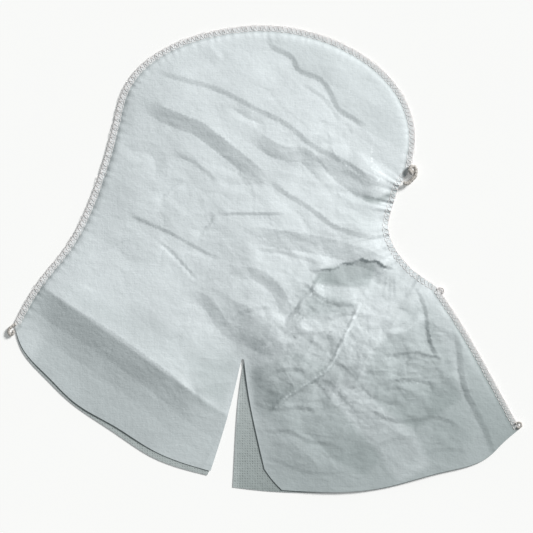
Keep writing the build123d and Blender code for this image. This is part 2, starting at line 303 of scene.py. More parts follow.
FOLDS = [
    # sharp packaging fold across the back flap
    ([(-240, -14), (-185, -51), (-150, -73), (-115, -98), (-85, -121), (-65, -139), (-34, -158)],
     [(-90, 0), (-60, -2.6), (-44, -3.3), (-26, -2.0), (0, 3.2), (26, 1.2), (70, 0)], 6),
    ([(-70, -131), (-50, -124), (-28, -122)], [(-30, 0), (0, 1.4), (10, 0)], 8),
    # long folds over the crown
    ([(-112, 194), (-89, 184), (-59, 176), (-24, 161), (-2, 149), (19, 139), (36, 126), (51, 114),
      (76, 102), (96, 89), (114, 73)], [(-60, 0), (-5, -0.75), (0, 0.75), (50, 0)], 30),
    ([(-116, 162), (-94, 149), (-64, 137), (-39, 119), (-14, 99), (8, 79)],
     drop(4.2, 15, 60, 70), 34),
    ([(6, 81), (20, 69), (40, 57), (55, 46), (70, 35), (85, 29), (105, 25), (122, 23)],
     [(-50, 0), (-5, -0.8), (0, 0.8), (40, 0)], 20),
    ([(-34, 152), (-18, 141), (-1, 134)], valley(1.1, 8, 6), 10),
    ([(-8, 130), (25, 112), (43, 110), (55, 99), (68, 86)], drop(4.2, 15, 50, 50), 22),
    ([(50, 103), (65, 84), (80, 71), (93, 62), (107, 57), (120, 61), (132, 69)],
     [(-44, 0), (-8, -1.2), (0, -2.0), (18, 2.2), (50, 0)], 14),
    ([(84, 97), (106, 83), (126, 74)], [(-12, 0), (0, 1.8), (16, 0)], 14),
    # upper right of the crown: the fabric turns up towards the seam
    ([(0, 226), (8, 209), (26, 199), (31, 189), (54, 177), (66, 159), (73, 147), (86, 139), (100, 128)],
     [(-50, 0), (0, -0.8), (5, 1.0), (24, 1.2), (60, 0)], 20),
    ([(-59, 217), (-42, 197)], ridge(0.9, 5, 9), 8),
    ([(86, 183), (116, 172), (130, 157)], valley(1.2, 14, 18), 18),
    # middle of the head
    ([(-102, 54), (-92, 66), (-79, 74)], [(-12, 0), (0, 0.5), (4, -0.6), (14, 0)], 9),
    ([(-136, 47), (-114, 37), (-94, 28), (-69, 14), (-42, 1)],
     [(-14, 0), (-3.5, -0.6), (0, 0.4), (12, 0)], 16),
    ([(-65, 19), (-55, 30), (-46, 43)], [(-14, 0), (0, 0.6), (4, -0.7), (14, 0)], 8),
    ([(-46, 43), (-14, 44), (20, 44)], [(-14, 0), (0, -0.6), (3, 0.6), (14, 0)], 10),
    ([(-44, 76), (-22, 74), (0, 75)], [(-9, 0), (0, -0.8), (6, 0)], 8),
    ([(-112, 21), (-94, 7), (-79, -9), (-66, -23)], [(-12, 0), (-3, 0.2), (0, -0.35), (3, 0.3), (10, 0)], 14),
    ([(-140, 156), (-142, 128), (-136, 110), (-114, 104), (-109, 76)], valley(1.1, 12, 9), 20),
    # bright band above the neck
    ([(-14, 33), (35, 26), (75, 18), (95, 12), (131, -2)], drop(4.6, 18, 44, 30), 24),
    # neck: the crown overhangs a jagged crease
    ([(46, -12), (60, -9), (70, -8), (78, -3), (88, -3), (95, 1), (104, -1), (112, -1), (119, -6), (131, -8)],
     [(-36, 0), (-19, -3.6), (-2.5, -1.2), (0, 1.6), (8, 1.0), (26, 0)], 14),
    ([(18, -66), (26, -55), (31, -49), (35, -40), (44, -32), (48, -24), (56, -13)],
     [(-18, 0), (-4, 1.4), (0, -1.2), (14, 0)], 12),
    ([(-84, -32), (-64, -33), (-44, -51), (-34, -66), (-4, -81), (8, -87)], drop(2.0, 12, 46, 26), 22),
    ([(-34, -9), (-9, -9), (11, -21), (26, -46), (28, -64)], drop(2.6, 12, 46, 26), 20),
    ([(-20, -99), (0, -85), (20, -74), (36, -60), (52, -49)], [(-20, 0), (-3, 0.6), (0, -0.6), (8, 0)], 12),
    # front flap: thin light ridge
    ([(96, -41), (88, -61), (81, -76), (71, -96), (61, -111), (54, -116), (36, -128), (21, -138), (4, -156)],
     [(-14, 0), (-2.8, 0.1), (0, 1.45), (2.8, -0.4), (6, -0.8), (26, 0)], 22),
    ([(-14, -118), (10, -122), (36, -118), (56, -104)], drop(3.6, 22, 26, 40), 14),
    ([(48, -112), (76, -141), (91, -161), (101, -176), (116, -191), (131, -208), (142, -220)],
     [(-56, 0), (-30, -1.8), (0, -1.4), (27, 1.6), (44, 0.4), (78, 0)], 16),
    ([(136, -50), (121, -76), (106, -91), (96, -120)],
     [(-56, 0), (-28, -0.5), (0, 2.6), (34, -3.0), (62, 0)], 16),
    ([(122, -76), (136, -73), (148, -66), (158, -55)], [(-14, 0), (0, 1.6), (6, -0.4), (14, 0)], 8),
    ([(164, -127), (178, -121), (193, -113)], ridge(1.5, 6, 14), 10),
    # long soft fold beside the throat
    ([(170, -30), (183, -56), (191, -81), (194, -106), (199, -131), (211, -156), (224, -186), (228, -200)],
     [(-40, 0), (-1, -1.6), (5, 1.3), (12, 1.5), (34, 0)], 10),
    ([(150, -28), (160, -52), (163, -78), (172, -100)], [(-10, 0), (-1, -1.0), (3, 1.0), (16, 0)], 12),
    ([(20, -180), (44, -196), (58, -214)], [(-18, 0), (0, 1.8), (16, -1.0), (30, 0)], 14),
    # short creases between the large ones
    ([(-12, -140), (10, -148), (34, -146), (52, -150)], drop(1.6, 4, 14, 18), 8),
    ([(0, -172), (22, -170), (46, -180), (66, -182)], drop(1.5, 4, 14, 18), 8),
    ([(8, -196), (40, -210), (74, -212)], drop(1.4, 4, 14, 18), 8),
    ([(-8, -120), (18, -108), (44, -110)], drop(1.4, 4, 12, 16), 8),
    ([(60, -60), (84, -52), (104, -56)], drop(1.3, 4, 12, 16), 7),
    ([(112, -124), (140, -118), (172, -124)], drop(1.4, 4, 12, 16), 7),
    ([(120, -96), (146, -92), (178, -98)], drop(1.3, 3, 10, 14), 7),
    ([(108, -150), (136, -160), (170, -156), (196, -166)], drop(1.5, 4, 14, 18), 8),
    ([(96, -196), (126, -178), (150, -176)], drop(1.2, 4, 12, 16), 7),
    ([(150, -196), (176, -188), (204, -192)], drop(1.3, 4, 12, 16), 7),
    ([(40, -22), (64, -40), (92, -44)], drop(1.4, 4, 12, 16), 7),
    ([(-40, -62), (-20, -50), (6, -46)], drop(1.1, 4, 12, 16), 7),
    ([(-8, 12), (30, 6), (58, -4)], drop(1.0, 4, 12, 18), 8),
    ([(-90, 108), (-66, 96), (-46, 78)], drop(0.8, 4, 14, 18), 8),
    ([(40, 176), (62, 160), (78, 136)], drop(0.8, 4, 14, 18), 8),
]


def crossed_height(points, line, profile, fade):
    """Height that one fold adds, fading out past the two ends of its line."""
    line = spline(line, 3.0)
    reach = max(abs(profile[0][0]), profile[-1][0])
    low, high = line.min(axis=0) - reach, line.max(axis=0) + reach
    close = np.all((points > low) & (points < high), axis=1)
    height = np.zeros(len(points))
    if not close.any():
        return height
    d, side, along = nearest_on(points[close], line)
    total = np.hypot(*np.diff(line, axis=0).T).sum()
    ends = np.clip(np.minimum(along, total - along) / fade, 0, 1)
    across, level = np.array(profile, float).T
    height[close] = np.interp(d * side, across, level) * np.sin(ends * math.pi / 2) ** 1.2
    return height


def waves(points, directions, length, seed):
    """Smooth random undulation with about the given wave length."""
    rng = np.random.default_rng(seed)
    total = np.zeros(len(points))
    for k in range(directions):
        angle = rng.uniform(0, math.pi)
        scale = length * rng.uniform(0.7, 1.5)
        phase = (points[:, 0] * math.cos(angle) + points[:, 1] * math.sin(angle)) / scale
        total += np.sin(2 * math.pi * phase + rng.uniform(0, 6.3))
    return total / math.sqrt(directions)


@functools.lru_cache(maxsize=None)
def facet_table(seed, size):
    """Place, slope and level of each bowl of one crumpled layer."""
    rng = np.random.default_rng(seed)
    seeds = rng.uniform(-0.42, 0.42, (size, size, 2))
    return seeds, rng.normal(0, 0.42, (size, size, 2)), rng.uniform(-0.3, 0.3, (size, size))


def facets(points, cell, lean, stretch, seed):
    """Crumpled relief of small bowls that meet in sharp ridges, about -0.5 to 0.5."""
    size = 256
    seeds, slopes, levels = facet_table(seed, size)
    turn = math.radians(lean)
    u = (points[:, 0] * math.cos(turn) + points[:, 1] * math.sin(turn)) / (cell * stretch) + size / 2
    v = (points[:, 1] * math.cos(turn) - points[:, 0] * math.sin(turn)) / cell + size / 2
    i, j = np.floor(u).astype(int), np.floor(v).astype(int)
    best = np.full(len(points), 9.0)
    for di in range(-2, 3):
        for dj in range(-2, 3):
            a, b = np.clip(i + di, 0, size - 1), np.clip(j + dj, 0, size - 1)
            du = u - (a + 0.5 + seeds[a, b, 0])
            dv = v - (b + 0.5 + seeds[a, b, 1])
            level = du * du + dv * dv + slopes[a, b, 0] * du + slopes[a, b, 1] * dv + levels[a, b]
            best = np.minimum(best, level)
    return best - 0.05


def zone(points, x, y, wide, tall):
    """1 at a place, fading out over a width and a height around it."""
    return np.exp(-((points[:, 0] - x) / wide) ** 2 - ((points[:, 1] - y) / tall) ** 2)


# Zones of the right panel with more or less crumpling than the rest: centre, half sizes, amount.
CRUMPLE_ZONES = [
    (60, -45, 60, 30, 0.36), (70, -130, 80, 60, 0.34), (150, -110, 55, 70, 0.30),
    (70, 30, 70, 26, 0.16), (-30, -60, 60, 34, 0.15), (60, 100, 60, 50, 0.12),
    (-60, 30, 70, 40, 0.12), (10, 130, 50, 30, 0.10), (40, -210, 120, 30, 0.15),
    (-150, -90, 60, 60, -0.08),
]
CRUMPLE_BASE, CRUMPLE_LEAST, CRUMPLE_MOST = 0.14, 0.06, 0.8
# Layers of bowls and ridges: height, cell size, lean in degrees, stretch and seed of each.
LARGE_CRUMPLES = [(2.3, 26, -32, 1.9, 5), (-1.7, 17, -48, 1.5, 6),
                  (0.62, 8, -20, 1.6, 7), (-0.5, 6.5, 35, 1.4, 8)]
FLAP_CRUMPLES = [(0.55, 5.0, 0, 4.5, 9)]
NECK_CRUMPLES = [(0.55, 7.5, 62, 3.5, 12), (-0.5, 9, -38, 3.0, 13)]


def crumple_share(points):
    """How strongly each part of the right panel is crumpled."""
    total = CRUMPLE_BASE + sum(amount * zone(points, *place) for *place, amount in CRUMPLE_ZONES)
    return np.clip(total, CRUMPLE_LEAST, CRUMPLE_MOST)


def crumple_relief(points):
    """Height of all the crumpling without a place of its own."""
    def layered(layers):
        """Facets of several sizes and directions, added up."""
        return sum(height * facets(points, *shape) for height, *shape in layers)

    relief = 0.28 * waves(points, 7, 80, 3) + crumple_share(points) * layered(LARGE_CRUMPLES)
    relief += zone(points, 150, -108, 42, 40) * layered(FLAP_CRUMPLES)
    relief += zone(points, 70, -110, 90, 90) * layered(NECK_CRUMPLES)
    return relief + 0.5 * crumpled(points) + 0.75 * gathers(points)


# Zones of short creases: centre, spread, direction in degrees, number, height.
CREASE_ZONES = [
    ((-60, 90), (80, 90), -35, 46, 0.45),
    ((60, 110), (60, 70), -40, 40, 0.55),
    ((-70, 0), (90, 60), -30, 34, 0.45),
    ((60, 10), (70, 40), -12, 44, 0.65),
    ((70, -70), (60, 36), -40, 54, 0.85),
    ((60, -160), (70, 60), -25, 80, 0.85),
    ((150, -110), (60, 70), 10, 86, 0.85),
    ((-140, -120), (80, 40), -35, 22, 0.4),
]


def crumple_lines():
    """Short creases of handling: centre, direction, length, height and width of each."""
    rng = np.random.default_rng(21)
    for centre, spread, lean, number, height in CREASE_ZONES:
        for _ in range(number):
            middle = np.array(centre) + rng.normal(0, 0.6, 2) * spread
            angle = math.radians(lean + rng.normal(0, 34))
            length = rng.uniform(9, 46)
            height_here = height * rng.uniform(0.3, 1.1) * rng.choice([-1, 1])
            yield middle, angle, length, height_here, rng.uniform(1.6, 4.5)


def crumpled(points):
    """Height of the short creases, each a slightly bent sharp ridge or valley."""
    total = np.zeros(len(points))
    for middle, angle, length, height, width in crumple_lines():
        rel = points - middle
        close = np.hypot(rel[:, 0], rel[:, 1]) < length
        x = rel[close, 0] * math.cos(angle) + rel[close, 1] * math.sin(angle)
        y = rel[close, 1] * math.cos(angle) - rel[close, 0] * math.sin(angle)
        y += 0.012 * x * x / max(length / 20, 1) + 1.2 * np.sin(x / 5.3 + length)
        side = np.where(y > 0, width, width * 2.4)
        total[close] += height * np.exp(-np.abs(y) / side) * np.exp(-(2 * x / length) ** 4)
    return total


def gathers(points):
    """Radial puckers that the elastic draws in the face edge."""
    d, _, along = nearest_on(points, FACE_EDGE)
    length = np.hypot(*np.diff(FACE_EDGE, axis=0).T).sum()
    ends = np.clip(np.minimum(along, length - along) / 12, 0.25, 1)
    wobble = along + 2.2 * np.sin(along / 9.0) + 1.4 * np.sin(along / 4.1 + 1) + 0.10 * d * np.sin(along / 13)
    fine = np.sin(wobble * 2 * math.pi / 6.2) * np.exp(-d / 11)
    coarse = np.sin(wobble * 2 * math.pi / 15.5 + 0.8) * np.exp(-d / 26)
    return ends * (0.75 * fine + 1.15 * coarse)


def seam_puckers(points, lines):
    """Small ripples square to the overlocked seams."""
    total = np.zeros(len(points))
    for line in lines:
        d, _, along = nearest_on(points, line)
        wobble = along + 1.7 * np.sin(along / 7.7) + 0.9 * np.sin(along / 3.1)
        total += 0.42 * np.sin(wobble * 2 * math.pi / 9.5) * np.exp(-((d - 5) / 7) ** 2)
    return total


SEAMS = [CROWN_SEAM, THROAT_SEAM]
COARSE_SEAMS = [resample(line, 6) for line in SEAMS]
COARSE_FACE = [resample(FACE_EDGE, 5)]
COARSE_HEMS = [resample(line, 6) for line in (
    RIGHT_BACK_HEM, RIGHT_SLIT_BACK, RIGHT_SLIT_FRONT, RIGHT_SLIT_CORNER, RIGHT_FRONT_HEM)]


def past_fold(points, fold, hems):
    """0 on a fold line and above it, growing to 1 at the hems of the flap below it."""
    past, _ = fold_frame(points, fold)
    past = np.maximum(past, 0)
    return past / (past + distance(points, hems) + 1e-6)


def flap_shares(points):
    """How far each point is down the back flap and down the front flap."""
    at_back = points[:, 0] < np.interp(-points[:, 1], SLIT_ROWS, SLIT_SHADE)
    back = np.where(at_back, past_fold(points, BACK_FOLD, COARSE_HEMS[:1]), 0)
    front = np.where(at_back, 0, past_fold(points, NECK_FOLD, COARSE_HEMS[4:]))
    return back, front


def puff_share(points):
    """Share of its height that the right panel keeps towards its hems, slit and face edge."""
    back, front = flap_shares(points)
    share = 1 - BACK_FALL * back - FRONT_FALL * front ** 1.1
    behind = 1 / (1 + np.exp((points[:, 0] + 26) / 9))
    reach = SLIT_REACH + SLIT_BACK_REACH * behind
    share *= 1 - SLIT_FALL * np.exp(-(distance(points, COARSE_HEMS[1:4]) / reach) ** 1.5)
    return share * (1 - FACE_FALL * np.exp(-(distance(points, COARSE_FACE) / FACE_REACH) ** 2))


def right_height(points):
    """Height of the top of the right panel over the surface that the hood lies on."""
    sewn = np.maximum(distance(points, COARSE_SEAMS) - FLANGE, 0)
    rise = STEEP_RISE * (1 - np.exp(-(sewn / STEEP_REACH) ** 1.4))
    rise += DOME_RISE * (1 - np.exp(-sewn / DOME_REACH))
    share = puff_share(points)
    relief = FOLD_STRENGTH * sum(crossed_height(points, *fold) for fold in FOLDS) + crumple_relief(points)
    room = np.minimum(1, rise * 2.4) * (0.2 + 0.8 * np.minimum(share * 1.6, 1))
    height = PUFF * rise * share + relief * room
    height = 0.5 * (height + np.sqrt(height * height + SOFT_FLOOR))
    return FLANGE_TOP + height + seam_puckers(points, COARSE_SEAMS) * 0.4


# Patches between creases with painted light and painted shade: corners, tone and edge softness.
PAINTED_SHADING_PATCHES = [
    ([(-14, -112), (30, -92), (64, -108), (52, -122), (36, -130), (20, -140), (4, -158), (-10, -150)],
     -0.10, 5),
    ([(120, -78), (150, -68), (168, -60), (186, -100), (196, -140), (150, -170), (118, -150),
      (100, -118), (104, -95)], -0.10, 5),
    ([(58, -128), (84, -120), (153, -178), (165, -206), (134, -224), (117, -197)], 0.13, 7),
    ([(88, -40), (136, -44), (140, -60), (122, -76), (96, -120), (84, -92)], 0.04, 5),
    ([(47, -24), (54, -14), (63, -8), (78, -5), (95, -1), (112, -3), (108, -16), (104, -27), (84, -28),
      (62, -25)], -0.24, 4),
    ([(42, -40), (60, -37), (88, -41), (92, -48), (80, -56), (58, -55), (42, -58)], -0.12, 5),
    ([(110, -1), (119, -6), (130, -3), (126, -9), (116, -10)], -0.14, 3),
    ([(28, -62), (38, -26), (60, -10), (110, -8), (112, -36), (98, -60), (60, -68)], -0.09, 14),
    ([(0, 227), (8, 209), (26, 199), (31, 189), (54, 177), (66, 159), (73, 147), (86, 139), (100, 128),
      (142, 108), (142, 160), (106, 198), (48, 225)], -0.09, 3),
    ([(98, 60), (106, 56), (114, 55), (122, 59), (132, 66), (130, 71), (120, 64), (110, 60), (100, 64)],
     -0.30, 3),
    ([(178, -36), (192, -53), (220, -101), (258, -168), (228, -194), (207, -140), (197, -100),
      (188, -66)], -0.06, 3),
    ([(-252, -62), (-228, -58), (-216, -74), (-232, -100), (-250, -80)], 0.10, 12),
    ([(-70, -131), (-33, -123), (-40, -153)], -0.03, 2),
    ([(-30, 30), (24, 30), (18, 76), (-44, 74)], 0.04, 12),
    ([(-196, -28), (-150, -45), (-100, -66), (-40, -78), (-24, -98), (-40, -151), (-66, -137),
      (-86, -119), (-116, -96), (-151, -71), (-186, -49)], -0.12, 18),
    ([(-74, -98), (-24, -97), (-24, -126), (-41, -152), (-66, -136)], -0.15, 18),
    ([(104, -12), (140, -10), (166, -32), (174, -60), (140, -62), (112, -40)], -0.10, 14),
    ([(20, -8), (72, -8), (76, -50), (30, -56)], -0.09, 14),
    ([(70, 66), (110, 66), (116, 26), (84, 18)], -0.10, 16),
    ([(160, -128), (192, -128), (208, -176), (184, -204), (166, -180)], -0.05, 16),
    ([(2, -132), (50, -120), (60, -132), (117, -197), (100, -217), (44, -185), (8, -160)], -0.08, 6),
    ([(20, -72), (64, -66), (76, -112), (56, -116), (20, -92)], -0.05, 12),
]


def painted_shade(points):
    """Painted shade of either panel: darker on the two flaps, which slope away from the light, and in the
    groove beside the seams.
    """
    back, front = flap_shares(points)
    past_back, _ = fold_frame(points, BACK_FOLD)
    past_neck, _ = fold_frame(points, NECK_FOLD)
    tone = 1 - 0.20 * np.clip(past_back / 2.5, 0, 1) * (back > 0)
    tone -= (front > 0) * (0.10 * np.clip(past_neck / 16, 0, 1) + 0.27 * np.clip(past_neck / 130, 0, 1))
    groove = distance(points, COARSE_SEAMS) - FLANGE - 0.9
    return tone - 0.22 * np.exp(-(groove / 1.1) ** 2)


def patched_painted_shade(points):
    """Painted shade of the right panel, with its patches of painted light and painted shade between the
    creases.
    """
    tone = painted_shade(points)
    for corners, amount, soft in PAINTED_SHADING_PATCHES:
        loop = np.array(corners + corners[:1], float)
        gap = nearest_on(points, loop)[0]
        gap = np.where(inside(points, loop[:-1], loop[1:]), gap, -gap)
        tone += amount * np.clip(0.5 + gap / soft, 0, 1)
    return tone


def left_height(points):
    """Height of the top of the left panel, which lies on the surface."""
    free = distance(points, [LEFT_SLIT_FRONT, LEFT_BACK_HEM, LEFT_FRONT_HEM])
    wavy = 0.5 + 0.5 * waves(points, 6, 40, 9) * 0.5
    return FABRIC + 0.12 + 0.3 * np.clip(wavy, 0, 1) * np.exp(-(free / 30) ** 2)


# ---- meshes ----
def slope_normals(top, height_of, reach=0.6):
    """Normals of a height field, from the slope over a short reach."""
    across = [height_of(top[:, :2] + step) - top[:, 2] for step in ((reach, 0.0), (0.0, reach))]
    normal = np.column_stack([-across[0], -across[1], np.full(len(top), reach)])
    return normal / np.linalg.norm(normal, axis=1)[:, None]


def open_edges(tris):
    """Edges that only one triangle has, in that triangle's direction."""
    edges = np.vstack([tris[:, [0, 1]], tris[:, [1, 2]], tris[:, [2, 0]]])
    keys = np.sort(edges, axis=1)
    _, first, count = np.unique(keys, axis=0, return_index=True, return_counts=True)
    return edges[first[count == 1]]


def make_object(name, points, faces, materials, normals=None, sides=None):
    """Mesh object from millimetre points; sides tells which material each face has."""
    mesh = bpy.data.meshes.new(name)
    mesh.from_pydata((points * 0.001).tolist(), [], [list(map(int, f)) for f in faces])
    mesh.polygons.foreach_set("use_smooth", np.ones(len(mesh.polygons), bool))
    for material in materials:
        mesh.materials.append(material)
    if sides is not None:
        mesh.polygons.foreach_set("material_index", sides)
    rest = mesh.attributes.new("rest_place", "FLOAT_VECTOR", "POINT")
    rest.data.foreach_set("vector", (points * 0.001).astype(np.float32).ravel())
    mesh.update()
    if normals is not None:
        mesh.normals_split_custom_set_from_vertices(normals.tolist())
    obj = bpy.data.objects.new(name, mesh)
    bpy.context.scene.collection.objects.link(obj)
    return obj


def cloth_piece(name, top, tris, normals, materials, paint):
    """Closed sheet of fabric thickness from some triangles of a panel."""
    used, index = np.unique(tris, return_inverse=True)
    tris = index.reshape(-1, 3)
    upper, out = top[used], normals[used]
    lower = upper - out * FABRIC
    n = len(upper)
    rim = open_edges(tris)
    faces = [tuple(t) for t in tris]
    faces += [(t[0] + n, t[2] + n, t[1] + n) for t in tris]
    faces += [(b, a, a + n, b + n) for a, b in rim]
    sides = [0] * len(tris) + [1] * len(tris) + [0] * len(rim)
    obj = make_object(name, np.vstack([upper, lower]), faces, materials, np.vstack([out, -out]), sides)
    for attribute, values in paint.items():
        layer = obj.data.attributes.new(attribute, "FLOAT", "POINT")
        layer.data.foreach_set("value", np.tile(values[used], 2).astype(np.float32))
    return obj


def split_by_body(plan, tris):
    """Triangles of a panel that belong to the hood, the back flap and the front flap."""
    middle = plan[tris].mean(axis=1)
    past_back, _ = fold_frame(middle, BACK_FOLD)
    past_neck, _ = fold_frame(middle, NECK_FOLD)
    right_of_slit = middle[:, 0] > np.interp(-middle[:, 1], SLIT_ROWS, SLIT_CUT)
    front = (past_neck > -CUT) & right_of_slit
    back = (past_back > -CUT) & ~right_of_slit
    return {"hood": ~front & ~back, "back_flap": back, "front_flap": front}


def bend_with(piece, body):
    """Attach a hood piece to the hood's body; a flap's piece only has its transform baked into its mesh, and
    is neither attached nor bent.
    """
    if body == "hood":
        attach(piece, "hood")
        return
    fold = BACK_FOLD if body == "back_flap" else NECK_FOLD
    (x0, y0), (x1, y1) = fold
    length = math.hypot(x1 - x0, y1 - y0)
    out = ((y1 - y0) / length, -(x1 - x0) / length)
    start, end = (
        ((x0 + x1) / 2000 + past * out[0] * 0.001, (y0 + y1) / 2000 + past * out[1] * 0.001, 0.0)
        for past in BEND)
    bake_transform(piece)
    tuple(start)
    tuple(end)


# ---- materials ----
def fill_inputs(material, node, inputs):
    """Give each named input of a node a value, or a link from another node's output."""
    for name, value in inputs.items():
        if isinstance(value, bpy.types.NodeSocket):
            material.node_tree.links.new(value, node.inputs[name])
        else:
            node.inputs[name].default_value = value


def add_node(material, kind, inputs, **settings):
    """Shader node with its settings made first, since they decide which inputs it has."""
    node = material.node_tree.nodes.new(f"ShaderNode{kind}")
    for name, value in settings.items():
        setattr(node, name, value)
    fill_inputs(material, node, inputs)
    return node


def new_material(name, inputs):
    """Material, its shader with some inputs filled in, and a function that adds nodes to it."""
    material = bpy.data.materials.new(name)
    material.use_nodes = True
    shader = material.node_tree.nodes["Principled BSDF"]
    fill_inputs(material, shader, inputs)
    return material, shader, functools.partial(add_node, material)


def ramp(add, source, low, high):
    """Colour between a low and a high stop, each a position and a colour."""
    node = add("ValToRGB", {"Fac": source})
    for element, (position, colour) in zip(node.color_ramp.elements, (low, high)):
        element.position = position
        element.color = (*colour, 1)
    return node.outputs["Color"]


def nonwoven(name, tone, dots):
    """Spunbond fabric: matted fibres, embossed bond dots, faint clouding and fine creases."""
    material, shader, add = new_material(name, {
        "Roughness": 0.72,
        "Specular IOR Level": 0.28,
        "Sheen Weight": 0.12,
        "Sheen Roughness": 0.6,
    })
    place = add("Attribute", {}, attribute_name="rest_place").outputs["Vector"]
    tint, shade, share = (
        add("Attribute", {}, attribute_name=layer).outputs["Fac"]
        for layer in ("seam_tint", "tone", "crumple"))

    def noise(scale, detail, rough=0.55):
        """Even noise over the cloth as it lies."""
        inputs = {"Vector": place, "Scale": scale, "Detail": detail, "Roughness": rough}
        return add("TexNoise", inputs).outputs["Fac"]

    def ridged(turn, stretch, scale, distortion):
        """Fine sharp creases that run mostly one way."""
        size = (scale, scale * stretch, scale)
        mapping = add("Mapping", {"Vector": place, "Rotation": (0, 0, turn), "Scale": size})
        inputs = {
            "Vector": mapping.outputs["Vector"],
            "Scale": 1.0,
            "Detail": 3.0,
            "Roughness": 0.4,
            "Distortion": distortion,
        }
        return add("TexNoise", inputs, noise_type="RIDGED_MULTIFRACTAL").outputs["Fac"]

    clouds, fibres, specks = noise(26, 3), noise(620, 4, 0.7), noise(230, 2)
    stretched = add("VectorMath", {0: place, 1: (260, 1100, 600)}, operation="MULTIPLY").outputs["Vector"]
    strand_inputs = {"Vector": stretched, "Scale": 1.0, "Detail": 2.0, "Distortion": 0.8}
    strands = add("TexNoise", strand_inputs).outputs["Fac"]
    cells = add("TexVoronoi", {"Vector": place, "Scale": 400, "Randomness": 0.18}).outputs["Distance"]
    dot = add("MapRange", {"Value": cells, "From Min": 0.12, "From Max": 0.34}).outputs["Result"]

    darker, lighter = [c * 0.93 for c in tone], [min(c * 1.04, 0.95) for c in tone]
    colour = ramp(add, clouds, (0.30, darker), (0.72, lighter))
    multiply = {"data_type": "RGBA", "blend_type": "MULTIPLY"}
    grain = add("Mix", {"Factor": 0.16, "A": colour, "B": fibres}, **multiply).outputs["Result"]
    # Painted shade: a low tone attribute darkens the colour towards green-grey
    painted_shade_colour = ramp(add, shade, (0.5, (0.47, 0.505, 0.495)), (1.0, (1, 1, 1)))
    toned = add("VectorMath", {0: grain, 1: painted_shade_colour}, operation="MULTIPLY").outputs["Vector"]
    dotted = add("Mix", {"Factor": dots * 0.55, "A": toned, "B": dot}, **multiply).outputs["Result"]
    warm_inputs = {"Factor": tint, "A": dotted, "B": (0.82, 0.785, 0.785, 1)}
    warm = add("Mix", warm_inputs, data_type="RGBA").outputs["Result"]

    both_ways = {0: ridged(0.6, 2.6, 34, 0.5), 1: ridged(-0.5, 2.2, 48, 0.7)}
    creases = add("Math", both_ways, operation="ADD").outputs["Value"]
    crumples = add("Math", {0: creases, 1: share}, operation="MULTIPLY").outputs["Value"]
    below = {}
    for height, strength, depth in (
        (dot, dots, 0.0003),
        (strands, 0.35, 0.0004),
        (specks, 0.26, 0.0012),
        (crumples, 0.7, 0.0017),
    ):
        bump = add("Bump", {"Height": height, "Strength": strength, "Distance": depth, **below})
        below = {"Normal": bump.outputs["Normal"]}
    fill_inputs(material, shader, {"Base Color": warm, **below})
    return material


def thread_material(name, tone, dark):
    """Fuzzy spun thread."""
    material, shader, add = new_material(name, {"Roughness": 0.85, "Sheen Weight": 0.25})
    place = add("Attribute", {}, attribute_name="rest_place").outputs["Vector"]
    fuzz = add("TexNoise", {"Vector": place, "Scale": 900, "Detail": 4}).outputs["Fac"]
    colour = ramp(add, fuzz, (0.32, dark), (0.66, tone))
    bump = add("Bump", {"Height": fuzz, "Strength": 0.6, "Distance": 0.0003})
    fill_inputs(material, shader, {"Base Color": colour, "Normal": bump.outputs["Normal"]})
    return material


def floor_material():
    """Matt white paper that glows faintly, so that it renders nearly white."""
    material, shader, add = new_material("studio_paper", {
        "Roughness": 0.95,
        "Specular IOR Level": 0.05,
        "Emission Color": (1, 1, 1, 1),
        "Emission Strength": 0.13,
    })
    noise = add("TexNoise", {"Scale": 40}).outputs["Fac"]
    fill_inputs(material, shader, {"Base Color": ramp(add, noise, (0, [0.925] * 3), (1, [0.935] * 3))})
    return material


OUTER = nonwoven("nonwoven_outer", (0.79, 0.85, 0.88), 0.10)
# Inner face, darker than the outer face partly as its own colour and partly as painted shade under the right
# panel
INNER = nonwoven("nonwoven_inner_shaded", (0.60, 0.655, 0.66), 0.6)
THREAD = thread_material("overlock_thread", (0.92, 0.885, 0.88), (0.78, 0.735, 0.73))
TAIL_THREAD = thread_material("tail_thread", (0.66, 0.63, 0.60), (0.30, 0.275, 0.25))
ELASTIC = thread_material("knitted_elastic", (0.66, 0.66, 0.64), (0.50, 0.50, 0.48))


# ---- panels ----
PANEL_NODES = {"hood": "crown_panel", "back_flap": "back_flap", "front_flap": "front_flap"}


def seam_glow(points, lines):
    """Share of the warm thread colour in the fabric, at the sewn edges."""
    return 0.6 * np.exp(-(distance(points, lines) / 3.4) ** 2)


def flat_size(corners):
    """Width and height, and area, of a sheet in metres, from its triangles' corners."""
    a, b = corners[:, 1] - corners[:, 0], corners[:, 2] - corners[:, 0]
    area = 0.5 * np.abs(a[:, 0] * b[:, 1] - a[:, 1] * b[:, 0]).sum() * 1e-6
    size = np.ptp(corners.reshape(-1, 2), axis=0) * 1e-3
    return tuple(map(float, size)), float(area)


def make_panel(side, edges, spacing, height_of, painted_shade_of, materials):
    """One fabric panel as three sheets, one for each body."""
    plan, tris = triangulated(edges, spacing)
    top = np.column_stack([plan, height_of(plan)])
    normals = slope_normals(top, height_of)
    paint = {
        "seam_tint": seam_glow(plan, COARSE_SEAMS),
        # tone holds the painted shade and painted light of the panel
        "tone": painted_shade_of(plan),
        "crumple": crumple_share(plan),
    }
    for body, chosen in split_by_body(plan, tris).items():
        piece = cloth_piece(f"{side}_{body}_fabric", top, tris[chosen], normals, materials, paint)
        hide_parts(f"{side}_{PANEL_NODES[body]}")
        bend_with(piece, body)
        flat, area = flat_size(plan[tris[chosen]])


make_panel("left", LEFT_EDGES, UNDER_SPACING, left_height, painted_shade, (INNER, OUTER))
make_panel("right", RIGHT_EDGES, SPACING, right_height, patched_painted_shade, (OUTER, INNER))


